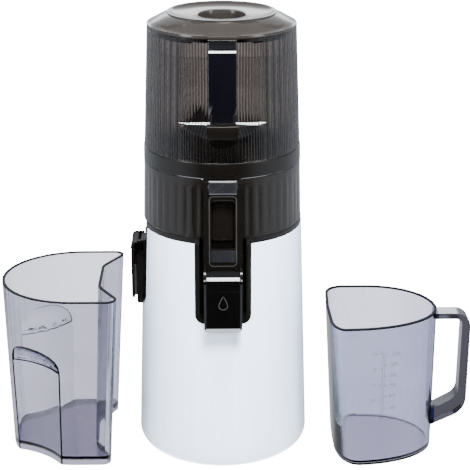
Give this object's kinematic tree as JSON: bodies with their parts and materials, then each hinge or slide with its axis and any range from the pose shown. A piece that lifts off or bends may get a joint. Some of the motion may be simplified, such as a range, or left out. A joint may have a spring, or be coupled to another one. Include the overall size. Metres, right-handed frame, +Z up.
{
  "type": "vertical slow juicer",
  "caption": "Tall slow juicer: white motor base, clear drum and self-feeding hopper with hinged lid, auger drive, capped juice spout, pulp flap, clear pulp container and juice jug.",
  "frame": {"origin": "on the table under the juicer's turning axis, at the bottom face of its middle foot", "axes": "+Z up along the turning axis; -Y towards the juice spout and the user; +X towards the juice jug; the pulp container stands at -X"},
  "size_m": [0.463, 0.1828, 0.44],
  "materials": {
    "white_gloss_plastic": "gloss",
    "black_gloss_plastic": "gloss",
    "smoke_clear_plastic": "clear smoke tint",
    "smoke_drum_plastic": "clear dark tint",
    "container_clear_plastic": "clear with a faint blue-grey tint",
    "dark_matte_plastic": "fine texture",
    "auger_plastic": "satin",
    "grey_silicone": "matt",
    "foot_rubber": "matt",
    "pin_steel": "ground",
    "screw_steel": "zinc plated",
    "motor_steel": "pressed sheet",
    "rotor_steel": "stacked sheet",
    "gearbox_alloy": "die cast",
    "gear_nylon": "moulded",
    "bush_bronze": "sintered",
    "board_laminate": "laminate",
    "switch_red_plastic": "moulded"
  },
  "bodies": {
    "base": {"base_housing": "white_gloss_plastic", "drum_seat_collar": "black_gloss_plastic", "bottom_cover": "dark_matte_plastic", "rubber_feet": "foot_rubber", "cover_screws": "screw_steel", "motor_can": "motor_steel", "gearbox_tray": "gearbox_alloy", "gearbox_cover": "gearbox_alloy", "gearbox_screws": "screw_steel", "intermediate_axle": "pin_steel", "drive_bush": "bush_bronze", "deck_seal": "grey_silicone", "control_board": "board_laminate", "switch_bezel": "dark_matte_plastic", "cord_gland": "dark_matte_plastic", "interlock_switch": "switch_red_plastic"},
    "rotor": {"motor_rotor": "rotor_steel", "cooling_fan": "dark_matte_plastic"},
    "intermediate": {"intermediate_gear": "gear_nylon"},
    "drive": {"output_gear": "gear_nylon", "drive_shaft": "pin_steel"},
    "rocker": {"rocker_switch": "dark_matte_plastic"},
    "drum": {"drum": "smoke_drum_plastic", "juice_column": "black_gloss_plastic", "drum_seal": "grey_silicone", "strainer": "auger_plastic", "cap_pin": "pin_steel", "flap_pin": "pin_steel", "latch_pin": "pin_steel", "plunger_spring": "pin_steel"},
    "auger": {"auger": "auger_plastic", "auger_socket": "pin_steel"},
    "juice_cap": {"juice_cap": "black_gloss_plastic", "cap_seal": "grey_silicone"},
    "pulp_flap": {"pulp_flap": "black_gloss_plastic", "flap_seal": "grey_silicone"},
    "drum_latch": {"drum_latch": "dark_matte_plastic"},
    "plunger": {"interlock_plunger": "gear_nylon"},
    "turning_seal": {"hopper_seal": "grey_silicone"},
    "hopper": {"hopper_ring": "black_gloss_plastic", "throat_funnel": "smoke_drum_plastic", "hopper": "smoke_clear_plastic", "rod_channel": "dark_matte_plastic", "lever_pin": "pin_steel", "lever_bracket": "dark_matte_plastic", "lid_hinge_pin": "pin_steel"},
    "lid_lever": {"lid_lever": "black_gloss_plastic"},
    "lid": {"lid": "smoke_clear_plastic", "lid_seal": "grey_silicone"},
    "pulp_container": {"pulp_container": "container_clear_plastic"},
    "juice_jug": {"juice_jug": "container_clear_plastic"}
  },
  "joints": [
    {"name": "drive_spin", "type": "hinge", "parent": "base", "child": "drive", "pos_m": [0, 0, 0.15], "axis": [0, 0, 1], "continuous": true},
    {"name": "intermediate_spin", "type": "hinge", "parent": "base", "child": "intermediate", "pos_m": [0.036, 0, 0.1], "axis": [0, 0, 1], "continuous": true},
    {"name": "rotor_spin", "type": "hinge", "parent": "base", "child": "rotor", "pos_m": [0, 0, 0.06], "axis": [0, 0, 1], "continuous": true},
    {"name": "switch_rock", "type": "hinge", "parent": "base", "child": "rocker", "pos_m": [0, 0.077, 0.063], "axis": [1, 0, 0], "range_deg": [-12, 12]},
    {"name": "drum_lift", "type": "slide", "parent": "base", "child": "drum", "axis": [0, 0, 1], "range_m": [0, 0.1]},
    {"name": "auger_spin", "type": "hinge", "parent": "drum", "child": "auger", "pos_m": [0, 0, 0.2], "axis": [0, 0, 1], "continuous": true},
    {"name": "juice_cap_hinge", "type": "hinge", "parent": "drum", "child": "juice_cap", "pos_m": [0, -0.09, 0.209], "axis": [-1, 0, 0], "range_deg": [0, 110]},
    {"name": "pulp_flap_hinge", "type": "hinge", "parent": "drum", "child": "pulp_flap", "pos_m": [-0.0848, 0, 0.2125], "axis": [0, 1, 0], "range_deg": [0, 24]},
    {"name": "latch_hinge", "type": "hinge", "parent": "drum", "child": "drum_latch", "pos_m": [0, -0.082, 0.293], "axis": [1, 0, 0], "range_deg": [0, 12], "stiffness_Nm_per_rad": 0.05},
    {"name": "plunger_slide", "type": "slide", "parent": "drum", "child": "plunger", "axis": [0, 0, -1], "range_m": [0, 0.0025], "stiffness_N_per_m": 200, "deforming": ["plunger_spring"]},
    {"name": "hopper_turn", "type": "hinge", "parent": "drum", "child": "turning_seal", "pos_m": [0, 0, 0.3], "axis": [0, 0, 1], "range_deg": [-20, 0]},
    {"name": "hopper_lift", "type": "slide", "parent": "turning_seal", "child": "hopper", "axis": [0, 0, 1], "range_m": [0, 0.08]},
    {"name": "lid_hinge", "type": "hinge", "parent": "hopper", "child": "lid", "pos_m": [0, 0.0765, 0.4255], "axis": [-1, 0, 0], "range_deg": [0, 100]},
    {"name": "lever_swing", "type": "hinge", "parent": "hopper", "child": "lid_lever", "pos_m": [0, -0.0685, 0.354], "axis": [1, 0, 0], "range_deg": [0, 25]},
    {"name": "pulp_container_lift", "type": "slide", "parent": "base", "child": "pulp_container", "axis": [0, 0, 1], "range_m": [0, 0.15]},
    {"name": "jug_lift", "type": "slide", "parent": "base", "child": "juice_jug", "axis": [0, 0, 1], "range_m": [0, 0.15]}
  ],
  "couplings": [
    {"joint": "intermediate_spin", "follows": "drive_spin", "ratio": -5},
    {"joint": "rotor_spin", "follows": "drive_spin", "ratio": 25},
    {"joint": "auger_spin", "follows": "drive_spin", "ratio": 1}
  ]
}
